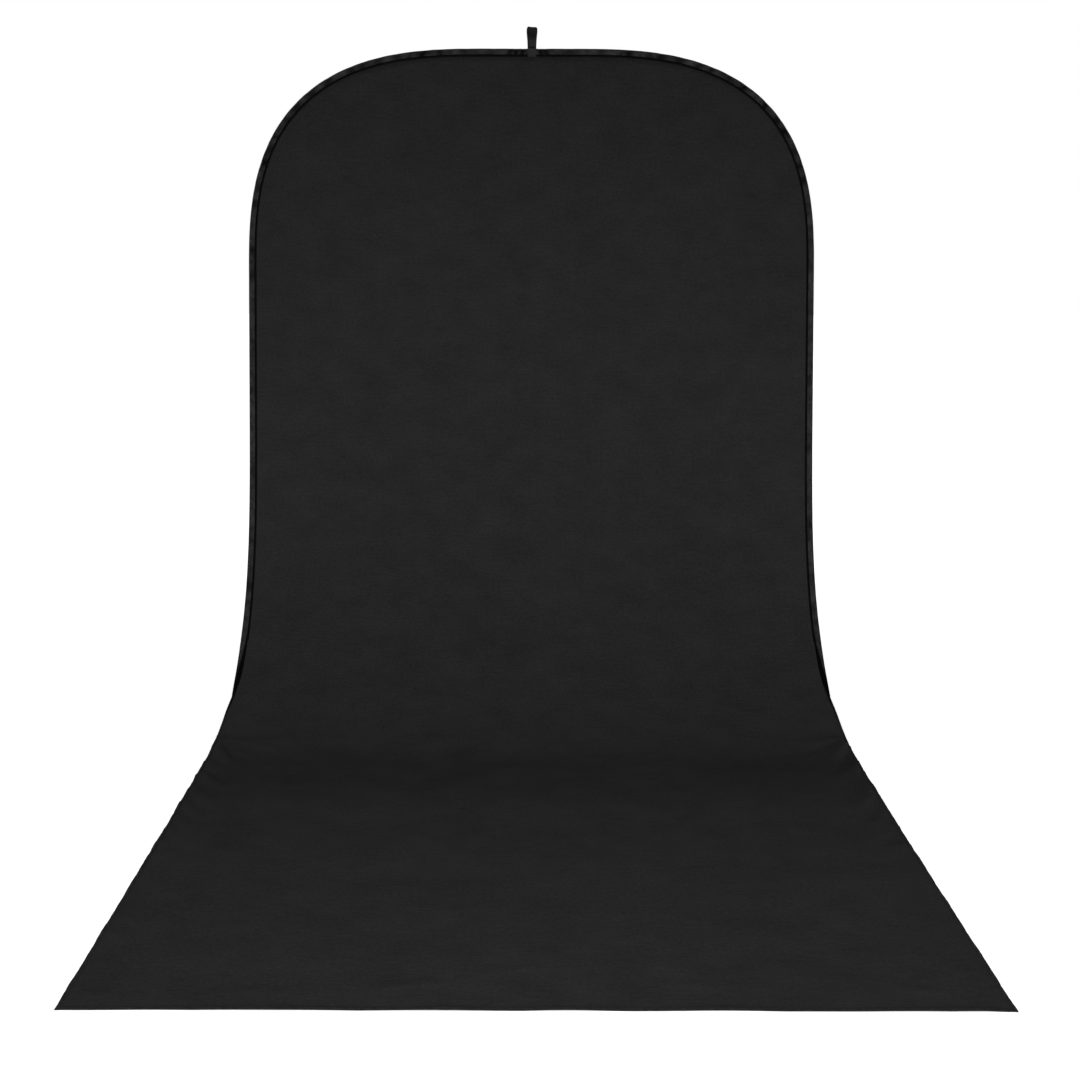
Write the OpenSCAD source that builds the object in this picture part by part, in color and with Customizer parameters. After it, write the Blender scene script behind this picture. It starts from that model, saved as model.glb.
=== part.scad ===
// Collapsible cloth photo background with a train. A sprung steel hoop in a sewn casing
// holds the upright part of one long cotton sheet. The sheet sweeps forward in a cove and
// goes on over the floor as a train. A webbing loop at the top hangs it from a stand.
// X is across the cloth, -Y is where the sitter and the train are, +Z is up.

/* [Cloth] */
// Width of the cloth, and of the hoop over its casing
cloth_w = 2440; // [1800:10:3200]
// Length of the cloth along its sweep, from the top edge to the front hem
cloth_l = 4880; // [4000:10:6000]
// Thickness of one layer of cloth
cloth_t = 0.8; // [0.5:0.1:1.4]
// Width of the double-turned hem
hem_w = 10; // [6:0.5:20]
// Width of a row of stitches
thread_w = 1.2; // [0.6:0.1:2]
// Height of a row of stitches above the cloth
thread_h = 0.4; // [0.3:0.05:0.8]

/* [Sweep] */
// Lean of the upright cloth away from the sitter, in degrees
lean = 11.5; // [0:0.5:20]
// Length of cloth in the cove, where it turns from upright to flat
cove_l = 2200; // [1400:10:2700]
// How late along the cove the tightest bend comes; 1 is in the middle
cove_skew = 1.2; // [0.8:0.05:1.6]
// How strongly the bend gathers in the cove's middle
cove_power = 1.6; // [0.5:0.05:2.5]
// Length of the cove's end in front of the hoop's bottom rail
cove_past_rail = 30; // [-60:5:200]

/* [Hoop] */
// Length of the hoop laid flat, top rail to bottom rail
hoop_l = 3600; // [2900:10:4300]
// Half the straight stretch in the middle of the top and bottom rails
rail_flat = 200; // [150:5:400]
// Length of side that each rounded corner takes up
corner_h = 950; // [600:10:1200]
// Power of the corner curve; 2 is an ellipse, more is squarer
corner_power = 2.75; // [2:0.05:4]
// Width of the spring steel band
band_w = 15; // [10:0.5:20]
// Thickness of the spring steel band
band_t = 1.2; // [0.8:0.1:1.6]

/* [Casing] */
// Width of the casing over its fold and seam
casing_w = 32; // [26:0.5:45]
// Thickness of the casing's wall
casing_t = 0.7; // [0.5:0.05:1.2]
// Room between the band and the casing
casing_gap = 0.8; // [0.5:0.05:2]
// Depth of the casing's middle under the cloth along the bottom rail
tuck_depth = 5; // [4.5:0.1:9]
// Length of side in which the casing passes from the cloth's edge to its underside
tuck_l = 260; // [150:5:400]
// Length of side in which the hem comes out over the casing
cover_l = 240; // [120:5:400]

/* [Band splice] */
// Length of the steel sleeve over the band's meeting ends
sleeve_l = 80; // [50:1:120]
// Wall of the sleeve
sleeve_t = 0.8; // [0.5:0.1:1.2]
// Diameter of the rivets
rivet_d = 4; // [3:0.1:5]
// Height of a rivet's head
rivet_head = 0.6; // [0.4:0.1:1]
// Thickness of the tape round each end of the sleeve
tape_t = 0.4; // [0.2:0.05:0.6]
// Width of the tape
tape_w = 16; // [10:0.5:22]
// Length of the cloth lap that joins the casing's two ends
lap_l = 160; // [120:5:240]

/* [Hang loop] */
// Width of the webbing
webbing_w = 38; // [25:1:50]
// Thickness of the webbing
webbing_t = 1.6; // [1:0.1:2.4]
// Height of the eye above its neck
eye_h = 80; // [60:1:120]
// Radius of the eye's round top, inside the webbing
eye_r = 13; // [9:0.5:20]
// Height of the neck above the top of the casing
neck_h = 10; // [9:0.5:16]
// How far the tails run down past the casing's seam
tail_past = 4; // [3:0.5:12]

/* [Train] */
// Distance from the bottom rail to the line where the train folds
fold_past_rail = 250; // [150:5:400]
// Gap between the two cloths at the fold line
fold_gap = 6; // [5:0.5:10]

/* [Hidden] */
clear = 0.3;
edge_gap = 0.6;
cove_steps = 72;
corner_steps = 18;
side_steps = 20;
rail_steps = 2;
cloth_rows = 40;
upright = 90 - lean;
straight_l = hoop_l + cove_past_rail - cove_l;
fold_s = hoop_l + fold_past_rail;
corner_w = cloth_w / 2 - rail_flat;
tuck_s = hoop_l - corner_h - 150;
cover_s = tuck_s + tuck_l;
hem_t = 3 * cloth_t;
rest_z = cloth_t / 2;
sleeve_w = band_w + 2 * clear + 2 * sleeve_t;
sleeve_h = band_t + 2 * clear + 2 * sleeve_t;
rivet_x = sleeve_l / 2 - tape_w - rivet_d;
rail_over = tuck_depth + (sleeve_h / 2 + rivet_head + clear + casing_t) - cloth_t / 2;

function lerp(a, b, k) = a + (b - a) * k;
function smooth(x, a, b) = let (k = min(max((x - a) / (b - a), 0), 1)) k * k * (3 - 2 * k);
function sum(v) = v * [for (x = v) 1];

// The cove's heading below the horizontal falls from upright to 0 in shares of a skewed sine
bend = [for (i = [0:cove_steps - 1]) pow(sin(180 * pow((i + 0.5) / cove_steps, cove_skew)), cove_power)];
bend_sum = sum(bend);
heading = [for (i = 0, a = upright; i <= cove_steps;
    a = a - upright * (i < cove_steps ? bend[i] : 0) / bend_sum, i = i + 1) a];
// The cove as [y, z], stepped along those headings from the origin
cove_run = [for (i = 0, p = [0, 0]; i <= cove_steps;
    p = i < cove_steps ? p - cove_l / cove_steps
        * [cos((heading[i] + heading[i + 1]) / 2), sin((heading[i] + heading[i + 1]) / 2)] : p,
    i = i + 1) p];
cove_end = cove_run[cove_steps];
back_y = straight_l * cos(upright);
front_y = cove_end[0] - (cloth_l - straight_l - cove_l);
// The eye of the hang loop is the rearmost point, the front hem the foremost
rear_y = back_y + neck_h * sin(lean) + eye_r + webbing_t;
mid_y = (rear_y + front_y) / 2;

// [y, z, heading] of the cloth's middle surface at length s along the sweep
function sweep(s) =
    s < straight_l ? [(straight_l - s) * cos(upright) - mid_y,
        (straight_l - s) * sin(upright) - cove_end[1] + rest_z, upright]
    : s >= straight_l + cove_l ? [cove_end[0] - (s - straight_l - cove_l) - mid_y, rest_z, 0]
    : let (f = (s - straight_l) / cove_l * cove_steps, i = floor(f), k = f - i,
        p = lerp(cove_run[i], cove_run[i + 1], k))
        [p[0] - mid_y, p[1] - cove_end[1] + rest_z, lerp(heading[i], heading[i + 1], k)];
// How far the bottom rail holds the cloth up off the floor
function lift(x, s) = rail_over * smooth(s, hoop_l - 380, hoop_l - 180)
    * (1 - smooth(s, hoop_l + 40, fold_s - 20)) * (1 - 0.5 * smooth(abs(x), 0.42 * cloth_w, 0.5 * cloth_w));
// A point n in front of the cloth at x across and s along
function on_cloth(x, s, n) = let (p = sweep(s)) [x, p[0] - n * sin(p[2]), p[1] + n * cos(p[2]) + lift(x, s)];

// The hoop's outer edge as [x, s, outward x, outward s]: a corner is a superellipse, with k from 0
// at the rail to 1 at the side, spread so that equal steps of k are nearly equal lengths of hoop
function corner(k, turn) = let (p = corner_power / 2, a = 90 * pow(k, p) / (pow(k, p) + pow(1 - k, p)),
        px = pow(sin(a), 2 / corner_power), ps = pow(cos(a), 2 / corner_power),
        nx = pow(px, corner_power - 1) / corner_w, ns = pow(ps, corner_power - 1) / corner_h,
        m = norm([nx, ns]))
    [rail_flat + corner_w * px,
        turn < 0 ? corner_h * (1 - ps) : hoop_l - corner_h * (1 - ps), nx / m, turn * ns / m];
// From the middle of the bottom rail up the right side to the middle of the top rail
function right_half(rail_from) = concat(
    [for (i = [0:rail_steps - 1]) [lerp(rail_from, rail_flat, i / rail_steps), hoop_l, 0, 1]],
    [for (i = [0:corner_steps]) corner(i / corner_steps, 1)],
    [for (i = [1:side_steps]) [cloth_w / 2, lerp(hoop_l - corner_h, corner_h, i / side_steps), 1, 0]],
    [for (i = [1:corner_steps]) corner(1 - i / corner_steps, -1)],
    [for (i = [1:rail_steps]) [lerp(rail_flat, 0, i / rail_steps), 0, 0, -1]]);
function hoop_path(rail_from) = let (half = right_half(rail_from), n = len(half))
    concat([for (h = half) [-h[0], h[1], -h[2], h[3]]], [for (i = [n - 2:-1:0]) half[i]]);

// 0 where the casing sits on the cloth's edge, 1 where it is tucked under the cloth
function tucked(s) = smooth(s, tuck_s, tuck_s + tuck_l);
// Half the cloth's width: it stops at the casing's seam, then comes out to its own hem
function half_w(s) = cloth_w / 2 - edge_gap - lerp(casing_w, hem_w, smooth(s, cover_s, cover_s + cover_l));
// A point r in from the hoop's outer edge and n in front of the casing's middle
function in_casing(h, r, n) = let (k = tucked(h[1]))
    on_cloth(h[0] - r * h[2], h[1] - r * h[3], n - tuck_depth * k);

// The casing is deep round the upright band and thin round the band that lies flat
function casing_deep(k) = let (a = 90 * k)
    band_w / 2 * cos(a) + band_t / 2 * sin(a) + 0.12 * band_w * sin(2 * a) + casing_gap + casing_t;
function casing_half(i, k) = casing_deep(k)
    * lerp([0.92, 1, 0.7, 0.36][i], [0.4, 0.8, 1, 1][i], k);
casing_r = [0, 3, 12, 22];
casing_side = [for (i = [0:3]) i];
function casing_outside(k) = concat(
    [for (i = casing_side) [casing_r[i] * casing_w / 32, casing_half(i, k)]],
    [[casing_w, casing_t], [casing_w, -casing_t]],
    [for (i = casing_side) [casing_r[3 - i] * casing_w / 32, -casing_half(3 - i, k)]]);
function casing_inside(k) = concat(
    [for (i = casing_side) [max(casing_r[i] * casing_w / 32, casing_t), casing_half(i, k) - 1.05 * casing_t]],
    [[casing_w - 4, 0.25], [casing_w - 4, -0.25]],
    [for (i = casing_side) [max(casing_r[3 - i] * casing_w / 32, casing_t), 1.05 * casing_t - casing_half(3 - i, k)]]);
// The band stands across the cloth on the sides and top, and twists flat along the bottom rail
function band_section(k) = let (c = lerp(casing_t + casing_gap + band_t / 2, casing_w / 2, k), a = 90 * k)
    [for (p = [[-1, 1], [1, 1], [1, -1], [-1, -1]])
        [c + p[0] * band_t / 2 * cos(a) + p[1] * band_w / 2 * sin(a),
            p[1] * band_w / 2 * cos(a) - p[0] * band_t / 2 * sin(a)]];
function seam_section(k) = let (r = casing_w - 3.4,
        n = lerp(casing_half(3, k), casing_t, (r - 22 * casing_w / 32) / (casing_w * 10 / 32)) + edge_gap)
    [[r, n + thread_h], [r + thread_w, n + thread_h], [r + thread_w, n], [r, n]];

// Two triangles for each quad between ring a and ring b of m points
function ring_faces(a, b, m) = [for (j = [0:m - 1], f = [[a + j, b + j, b + (j + 1) % m], [a + j, b + (j + 1) % m, a + (j + 1) % m]]) f];
function flipped(faces) = [for (f = faces) [f[0], f[2], f[1]]];
// A solid bar through rings of points, closed by a fan at each end
module bar(rings) {
    m = len(rings[0]);
    n = len(rings);
    sides = [for (i = [0:n - 2], f = ring_faces(i * m, (i + 1) * m, m)) f];
    caps = concat([for (j = [1:m - 2]) [0, j, j + 1]],
        [for (j = [1:m - 2]) [(n - 1) * m, (n - 1) * m + j + 1, (n - 1) * m + j]]);
    polyhedron([for (r = rings, p = r) p], concat(sides, caps));
}
// A tube open at both ends, through rings that list their outer points and then their inner ones
module tube(rings) {
    m = len(rings[0]) / 2;
    n = len(rings);
    skins = [for (i = [0:n - 2]) concat(ring_faces(2 * i * m, 2 * (i + 1) * m, m),
        flipped(ring_faces((2 * i + 1) * m, (2 * i + 3) * m, m)))];
    ends = concat(flipped(ring_faces(0, m, m)), ring_faces(2 * (n - 1) * m, (2 * n - 1) * m, m));
    polyhedron([for (r = rings, p = r) p], concat([for (s = skins, f = s) f], ends));
}

// ---- Hoop ----
module hoop_band() {
    color("silver")
        bar([for (h = hoop_path(0.5)) [for (q = band_section(tucked(h[1]))) in_casing(h, q[0], q[1])]]);
}
// Moves a child from the origin to the middle of the band where its ends meet
module at_splice() {
    translate(in_casing([0, hoop_l, 0, 1], casing_w / 2, 0)) children();
}
module splice_sleeve() {
    color("gray") at_splice() difference() {
        cube([sleeve_l, sleeve_w, sleeve_h], center = true);
        cube([sleeve_l + 2, sleeve_w - 2 * sleeve_t, sleeve_h - 2 * sleeve_t], center = true);
        for (x = [-rivet_x, rivet_x]) translate([x, 0, 0])
            cylinder(d = rivet_d + 0.2, h = sleeve_h + 2, center = true, $fn = 32);
    }
}
module splice_rivets() {
    color("darkgray") at_splice() for (x = [-rivet_x, rivet_x], up = [-1, 1]) translate([x, 0, 0])
        translate([0, 0, up * (sleeve_h / 2 + rivet_head / 2 + 0.05)])
            cylinder(d = 1.5 * rivet_d, h = rivet_head, center = true, $fn = 32);
}
module splice_tape() {
    color("black") at_splice() for (side = [-1, 1]) translate([side * (sleeve_l - tape_w) / 2, 0, 0])
        difference() {
            cube([tape_w, sleeve_w + 2 * (tape_t + 0.1), sleeve_h + 2 * (tape_t + 0.1)], center = true);
            cube([tape_w + 2, sleeve_w + 0.2, sleeve_h + 0.2], center = true);
        }
}

// ---- Casing ----
casing_mouth = lap_l / 2;
module edge_casing() {
    color("#242424") tube([for (h = hoop_path(casing_mouth)) let (k = tucked(h[1]))
        [for (q = concat(casing_outside(k), casing_inside(k))) in_casing(h, q[0], q[1])]]);
}
module casing_seam() {
    color("#303030")
        bar([for (h = hoop_path(casing_mouth)) [for (q = seam_section(tucked(h[1]))) in_casing(h, q[0], q[1])]]);
}
// A flat sleeve of cloth between the casing's two ends, round the splice
module casing_lap() {
    deep = sleeve_h + 2 * (rivet_head + clear) + 2 * casing_t;
    color("#202020") at_splice() difference() {
        cube([lap_l - 2 * edge_gap, casing_w, deep], center = true);
        cube([lap_l, casing_w - 2 * casing_t, deep - 2 * casing_t], center = true);
    }
}

// ---- Cloth ----
// The top edge of the cloth, just inside the casing's seam, from left to right
function cloth_top() = let (right = [for (i = [0:corner_steps]) corner(i / corner_steps, -1)],
        flat = [for (i = [-rail_steps + 1:rail_steps - 1]) [rail_flat * i / rail_steps, 0, 0, -1]],
        left = [for (i = [corner_steps:-1:0]) [-right[i][0], right[i][1], -right[i][2], right[i][3]]])
    [for (h = concat(left, flat, right)) [h[0] - (casing_w + edge_gap) * h[2], h[1] - (casing_w + edge_gap) * h[3]]];
// Rows run from that edge to the fold line; every row has the same share of each column
module cloth_panel() {
    top = cloth_top();
    cols = len(top);
    top_half = top[cols - 1][0];
    stop_s = fold_s - fold_gap / 2;
    grid = [for (i = [0:cloth_rows], t = top)
        let (s = lerp(t[1], stop_s, i / cloth_rows)) [t[0] / top_half * half_w(s), s]];
    front = [for (q = grid) on_cloth(q[0], q[1], cloth_t / 2)];
    back = [for (q = grid) on_cloth(q[0], q[1], -cloth_t / 2)];
    all = len(grid);
    skin = [for (i = [0:cloth_rows - 1], j = [0:cols - 2]) let (a = i * cols + j)
        each [[a, a + 1, a + cols + 1], [a, a + cols + 1, a + cols]]];
    rim = concat([for (j = [0:cols - 2]) j], [for (i = [0:cloth_rows - 1]) i * cols + cols - 1],
        [for (j = [cols - 1:-1:1]) cloth_rows * cols + j], [for (i = [cloth_rows:-1:1]) i * cols]);
    wall = [for (k = [0:len(rim) - 1]) let (a = rim[k], b = rim[(k + 1) % len(rim)])
        each [[b, a, a + all], [b, a + all, b + all]]];
    color("#262626") polyhedron(concat(front, back),
        concat(skin, [for (f = skin) [f[0] + all, f[2] + all, f[1] + all]], wall));
}
// A bar beside the cloth's side edge, from in_x to out_x of it and low to high off its middle.
// Its rings lie in the cloth's own rows.
module side_strip(side, in_x, out_x, low, high) {
    rings = [for (i = [0:cloth_rows]) let (s = lerp(corner_h, fold_s - fold_gap / 2, i / cloth_rows), e = half_w(s))
        if (s >= cover_s)
        [for (q = [[in_x, low], [out_x, low], [out_x, high], [in_x, high]]) on_cloth(side * (e + q[0]), s, q[1])]];
    bar(side > 0 ? rings : [for (r = rings) [r[3], r[2], r[1], r[0]]]);
}
module side_hem(side) {
    color("#222222") side_strip(side, edge_gap, edge_gap + hem_w, -rest_z, hem_t - rest_z);
}
module side_hem_left() {
    side_hem(-1);
}
module side_hem_right() {
    side_hem(1);
}
module side_hem_stitching() {
    color("#303030") for (side = [-1, 1])
        side_strip(side, edge_gap + 1.5, edge_gap + 1.5 + thread_w, hem_t - rest_z + 0.1, hem_t - rest_z + 0.1 + thread_h);
}

// ---- Train ----
fold_y = sweep(fold_s)[0];
train_back_y = fold_y - fold_gap / 2;
train_front_y = sweep(cloth_l)[0];
train_half = cloth_w / 2 - hem_w - edge_gap;
// A block between two corners
module block(low, high) {
    translate(low) cube(high - low);
}
module train_cloth() {
    color("#262626") block([-train_half, train_front_y + hem_w + edge_gap, 0], [train_half, train_back_y, cloth_t]);
}
module train_side_hem(side) {
    x = side > 0 ? train_half + edge_gap : -cloth_w / 2;
    color("#222222") block([x, train_front_y, 0], [x + hem_w, train_back_y, hem_t]);
}
module train_hem_left() {
    train_side_hem(-1);
}
module train_hem_right() {
    train_side_hem(1);
}
module front_hem() {
    color("#222222") block([-train_half, train_front_y, 0], [train_half, train_front_y + hem_w, hem_t]);
}
module train_hem_stitching() {
    low = hem_t + 0.1;
    high = low + thread_h;
    inner = train_half + edge_gap + 1.5;
    color("#303030") {
        for (x = [-inner - thread_w, inner])
            block([x, train_front_y + hem_w, low], [x + thread_w, train_back_y, high]);
        block([-inner, train_front_y + hem_w - 1.5 - thread_w, low], [inner, train_front_y + hem_w - 1.5, high]);
    }
}

// ---- Hang loop ----
// A strap of even thickness along a path of [y, z] points
function strap(path, t) = let (n = len(path),
        off = [for (i = [0:n - 1]) let (d = path[min(i + 1, n - 1)] - path[max(i - 1, 0)]) [-d[1], d[0]] / norm(d) * t / 2])
    concat(path + off, [for (i = [n - 1:-1:0]) path[i] - off[i]]);
// Draws a side view across the webbing's width: the child's x is Y and its y is Z
module across(w) {
    translate([-w / 2, 0, 0]) rotate([90, 0, 90]) linear_extrude(w) children();
}
// Frame of the casing's top edge, leaning with the cloth
module at_top_edge() {
    translate([0, sweep(0)[0], sweep(0)[1]]) rotate([-lean, 0, 0]) children();
}
neck_y = sweep(0)[0] + neck_h * sin(lean);
neck_z = sweep(0)[1] + neck_h * cos(lean);
over_casing = thread_h + 4 * clear + webbing_t / 2;
module loop_tails() {
    face = [[cloth_t / 2 + over_casing, -casing_w - tail_past],
        [cloth_t / 2 + over_casing, -casing_w - edge_gap],
        [casing_half(3, 0) + over_casing, -22 * casing_w / 32],
        [casing_half(2, 0) + over_casing, -12 * casing_w / 32],
        [casing_half(1, 0) + over_casing, -3],
        [casing_half(0, 0) + over_casing - clear, 1],
        [2 * webbing_t, 4.2],
        [webbing_t / 2 - 0.05, 6],
        [webbing_t / 2 - 0.05, neck_h - webbing_t - clear]];
    color("#1d1d1d") at_top_edge() {
        across(webbing_w) polygon(strap(face, webbing_t));
        across(webbing_w) polygon(strap([for (p = face) [-p[0], p[1]]], webbing_t));
    }
}
// A row of stitches through the end of each tail
module loop_stitching() {
    n = cloth_t / 2 + over_casing + webbing_t / 2 + 0.1;
    color("#333333") at_top_edge() for (side = [-1, 1])
        translate([-webbing_w / 2 + 3, side > 0 ? n : -n - thread_h, -casing_w - 0.65 * tail_past])
            cube([webbing_w - 6, thread_h, thread_w]);
}
eye_mid = eye_h - eye_r - webbing_t;
eye_neck = 7;
module hang_loop_eye() {
    r = eye_r + webbing_t / 2;
    x = webbing_t / 2 + 0.05;
    reach = acos(r / norm([x, eye_mid - eye_neck])) - 90 + atan(x / (eye_mid - eye_neck));
    path = concat([[x, 0], [x, eye_neck - 1]],
        [for (a = [reach:(180 - 2 * reach) / 20:180.01 - reach]) [r * cos(a), eye_mid + r * sin(a)]],
        [[-x, eye_neck - 1], [-x, 0]]);
    color("#1d1d1d") translate([0, neck_y, neck_z]) {
        across(webbing_w) polygon(strap(path, webbing_t));
        translate([-webbing_w / 2, -webbing_t, 0]) cube([webbing_w, 2 * webbing_t, eye_neck - 1.5]);
        rotate([0, 90, 0]) cylinder(r = webbing_t, h = webbing_w, center = true, $fn = 48);
    }
}
// A dense bar of stitches on each face of the neck
module neck_bartack() {
    color("#333333") translate([0, neck_y, neck_z]) for (y = [-webbing_t - 0.1 - thread_h, webbing_t + 0.1])
        translate([-webbing_w / 2 + 3, y, 2]) cube([webbing_w - 6, thread_h, 3]);
}

cloth_panel();
edge_casing();
casing_seam();
hoop_band();
splice_sleeve();
splice_rivets();
splice_tape();
casing_lap();
side_hem_left();
side_hem_right();
side_hem_stitching();
loop_tails();
loop_stitching();
train_cloth();
train_hem_left();
train_hem_right();
front_hem();
train_hem_stitching();
hang_loop_eye();
neck_bartack();
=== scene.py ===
# Collapsible cloth photo background with a train: cloth, casing, hems, thread, hang loop and stage.
# Lengths are metres. x runs across the cloth, s along its sweep from the top edge, and n off its front.
import math
import bpy
import numpy as np
from mathutils import Matrix


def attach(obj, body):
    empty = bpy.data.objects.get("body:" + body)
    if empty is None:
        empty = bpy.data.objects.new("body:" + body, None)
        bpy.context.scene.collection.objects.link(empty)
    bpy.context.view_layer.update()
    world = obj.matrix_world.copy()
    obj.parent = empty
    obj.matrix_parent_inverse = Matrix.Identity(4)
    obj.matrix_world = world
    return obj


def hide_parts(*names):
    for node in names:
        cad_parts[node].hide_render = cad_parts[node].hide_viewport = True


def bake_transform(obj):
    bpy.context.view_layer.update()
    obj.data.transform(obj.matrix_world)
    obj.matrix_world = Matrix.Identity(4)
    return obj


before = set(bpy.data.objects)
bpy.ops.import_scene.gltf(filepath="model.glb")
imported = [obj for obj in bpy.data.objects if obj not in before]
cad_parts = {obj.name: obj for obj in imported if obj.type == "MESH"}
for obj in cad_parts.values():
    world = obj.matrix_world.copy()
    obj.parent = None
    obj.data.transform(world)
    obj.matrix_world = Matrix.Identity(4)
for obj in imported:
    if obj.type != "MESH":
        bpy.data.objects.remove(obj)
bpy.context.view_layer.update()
print("frame loaded")

sweep = {
    "width": 2.440,
    "length": 4.880,
    "lean": math.radians(11.5),  # of the upright cloth, away from the sitter
    "coveLength": 2.200,
    "coveSkew": 1.2,
    "covePower": 1.6,
    "covePastRail": 0.030,
    "clothThick": 0.0008,
    "steps": 1440,
}
hoop = {
    "length": 3.600,
    "railFlat": 0.200,
    "cornerHeight": 0.950,
    "cornerPower": 2.75,
    "tuckDepth": 0.005,
    "tuckStart": 2.500,
    "tuckLength": 0.260,
    "bandWidth": 0.015,
    "bandThick": 0.0012,
    "railOver": 0.0079,  # how far the bottom rail holds the cloth off the floor
}
hem = {
    "width": 0.010,
    "thick": 0.0024,
    "start": 2.700,  # where the hem comes out over the casing
    "spread": 0.280,
    "pucker": 0.0005,
    "wander": 0.0016,
}
foldLine = hoop["length"] + 0.250


def smoothStep(x, a, b):
    k = np.clip((x - a) / (b - a), 0, 1)
    return k * k * (3 - 2 * k)


def lerp(a, b, k):
    return a + (b - a) * k


def runningSum(steps):
    return np.concatenate([[0], np.cumsum(steps)])


# The cove: its heading falls from upright to flat in shares of a skewed sine, and its points
# are the running sum of short steps along that heading
upright = math.pi / 2 - sweep["lean"]
straight = hoop["length"] + sweep["covePastRail"] - sweep["coveLength"]
coveShare = (np.arange(sweep["steps"]) + 0.5) / sweep["steps"]
coveBend = np.sin(math.pi * coveShare ** sweep["coveSkew"]) ** sweep["covePower"]
coveHeading = upright - upright * runningSum(coveBend) / coveBend.sum()
coveMid = (coveHeading[1:] + coveHeading[:-1]) / 2
coveStep = sweep["coveLength"] / sweep["steps"]
coveY = -runningSum(coveStep * np.cos(coveMid))
coveZ = -runningSum(coveStep * np.sin(coveMid))
coveAt = np.linspace(0, sweep["coveLength"], sweep["steps"] + 1)

loop = {
    "width": 0.038,
    "thick": 0.0016,
    "eyeHeight": 0.080,
    "eyeRadius": 0.013,
    "neckHeight": 0.010,
    "turn": math.radians(24),  # how far the eye's top is turned about its neck
}
topBackY = straight * math.cos(upright)
rearY = topBackY + loop["neckHeight"] * math.sin(sweep["lean"]) + loop["eyeRadius"] + loop["thick"]
frontY = coveY[-1] - (sweep["length"] - straight - sweep["coveLength"])
middleY = (rearY + frontY) / 2


# y, z and heading of the cloth's middle surface at s
def sweepAt(s):
    past = s - straight
    y = np.interp(past, coveAt, coveY) + np.maximum(-past, 0) * math.cos(upright)
    y = y - np.maximum(past - sweep["coveLength"], 0) - middleY
    z = np.interp(past, coveAt, coveZ) + np.maximum(-past, 0) * math.sin(upright)
    return y, z - coveZ[-1] + sweep["clothThick"] / 2, np.interp(past, coveAt, coveHeading)


# How far the bottom rail lifts the cloth: up in front of it, down behind it, half as much at the sides
def railLift(x, s):
    rise = smoothStep(s, hoop["length"] - 0.380, hoop["length"] - 0.180)
    fall = 1 - smoothStep(s, hoop["length"] + 0.040, foldLine - 0.020)
    side = 1 - 0.5 * smoothStep(np.abs(x), 0.42 * sweep["width"], 0.5 * sweep["width"])
    return hoop["railOver"] * rise * fall * side


# The point n off the front of the cloth, as an array of x, y, z
def onCloth(x, s, n):
    y, z, heading = sweepAt(s)
    x, y, z = np.broadcast_arrays(x, y - n * np.sin(heading), z + n * np.cos(heading) + railLift(x, s))
    return np.stack([x, y, z], axis=-1)


# The hoop's outer edge. A corner is a superellipse, k from 0 at the rail to 1 at the side.
def cornerAt(k, turn):
    power = hoop["cornerPower"]
    wide = sweep["width"] / 2 - hoop["railFlat"]
    high = hoop["cornerHeight"]
    angle = math.pi / 2 * k ** (power / 2) / (k ** (power / 2) + (1 - k) ** (power / 2))
    across = np.clip(np.sin(angle), 0, 1) ** (2 / power)
    down = np.clip(np.cos(angle), 0, 1) ** (2 / power)
    outX = across ** (power - 1) / wide
    outS = down ** (power - 1) / high
    size = np.hypot(outX, outS)
    s = high * (1 - down) if turn < 0 else hoop["length"] - high * (1 - down)
    return np.stack([hoop["railFlat"] + wide * across, s, outX / size, turn * outS / size], axis=-1)


# From the middle of the bottom rail up the right side, over the top and down the left side
def hoopLine():
    k = np.linspace(0, 1, 500)
    rail = np.linspace(0, hoop["railFlat"], 30)[:-1]
    side = np.linspace(hoop["length"] - hoop["cornerHeight"], hoop["cornerHeight"], 200)[1:-1]
    bottomRail = np.stack([rail, 0 * rail + hoop["length"], 0 * rail, 0 * rail + 1], axis=-1)
    topRail = np.stack([rail[::-1], 0 * rail, 0 * rail, 0 * rail - 1], axis=-1)
    sides = np.stack([0 * side + sweep["width"] / 2, side, 0 * side + 1, 0 * side], axis=-1)
    half = np.concatenate([bottomRail, cornerAt(k, 1), sides, cornerAt(k[::-1], -1), topRail])
    line = np.concatenate([half, (half * [-1, 1, -1, 1])[-2::-1]])
    return line, runningSum(np.hypot(*np.diff(line[:, :2], axis=0).T))


outline, outlineRun = hoopLine()
hoopTop = outlineRun[-1] / 2  # run of the middle of the top rail


# x, s and the outward direction at lengths along the hoop
def hoopAt(run):
    return np.stack([np.interp(run, outlineRun, outline[:, i]) for i in range(4)], axis=-1)


# 0 where the casing sits on the cloth's edge, 1 where it is tucked under the cloth
def tucked(s):
    return smoothStep(s, hoop["tuckStart"], hoop["tuckStart"] + hoop["tuckLength"])


# The point r in from the hoop's outer edge and n off the casing's middle
def inCasing(at, r, n):
    x = at[:, :1] - r * at[:, 2:3]
    s = at[:, 1:2] - r * at[:, 3:4]
    return onCloth(x, s, n - hoop["tuckDepth"] * tucked(at[:, 1:2]))


# The quads of a grid of points, numbered row by row. A round grid's last column joins its first.
def gridFaces(rows, cols, isRound=False):
    i, j = np.meshgrid(np.arange(rows - 1), np.arange(cols if isRound else cols - 1), indexing="ij")
    k = (j + 1) % cols
    quads = [i * cols + j, (i + 1) * cols + j, (i + 1) * cols + k, i * cols + k]
    return np.stack(quads, axis=-1).reshape(-1, 4)


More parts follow.
